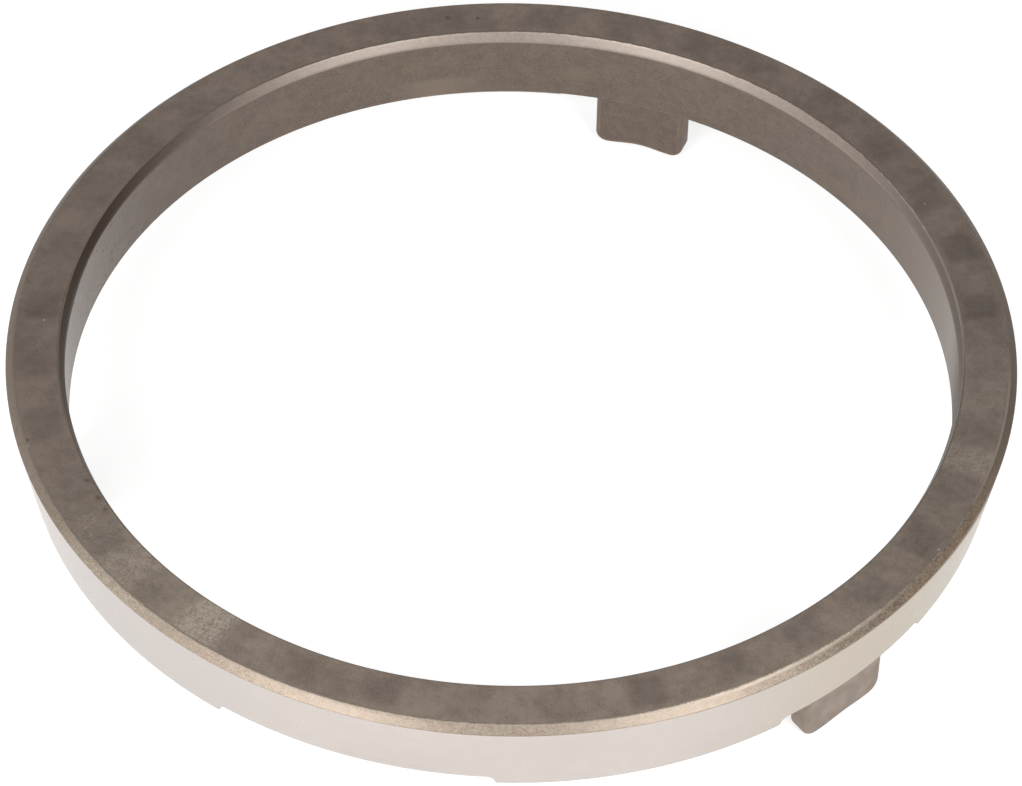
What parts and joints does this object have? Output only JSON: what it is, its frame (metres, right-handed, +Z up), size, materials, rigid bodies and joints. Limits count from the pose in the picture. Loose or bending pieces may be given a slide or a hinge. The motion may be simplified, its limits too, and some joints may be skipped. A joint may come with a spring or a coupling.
{
  "type": "synchronizer ring",
  "caption": "Steel synchronizer ring with a conical outer friction face, a plain bore, chamfered rims, and rounded driving lugs standing in shallow recesses on its underside.",
  "frame": {"origin": "on the ring's axis, in the plane of the lugs' feet that it stands on", "axes": "+Z up along the ring's axis, from the lugs to the plain top face; +Y through the middle of one lug; +X completes the right-handed frame"},
  "size_m": [0.165, 0.165, 0.0256],
  "materials": {
    "ring_steel": "hardened steel, dull brown-grey on the top face and bore, bright ground on the outer cone"
  },
  "bodies": {
    "root": {"synchronizer_ring": "ring_steel"}
  },
  "joints": []
}
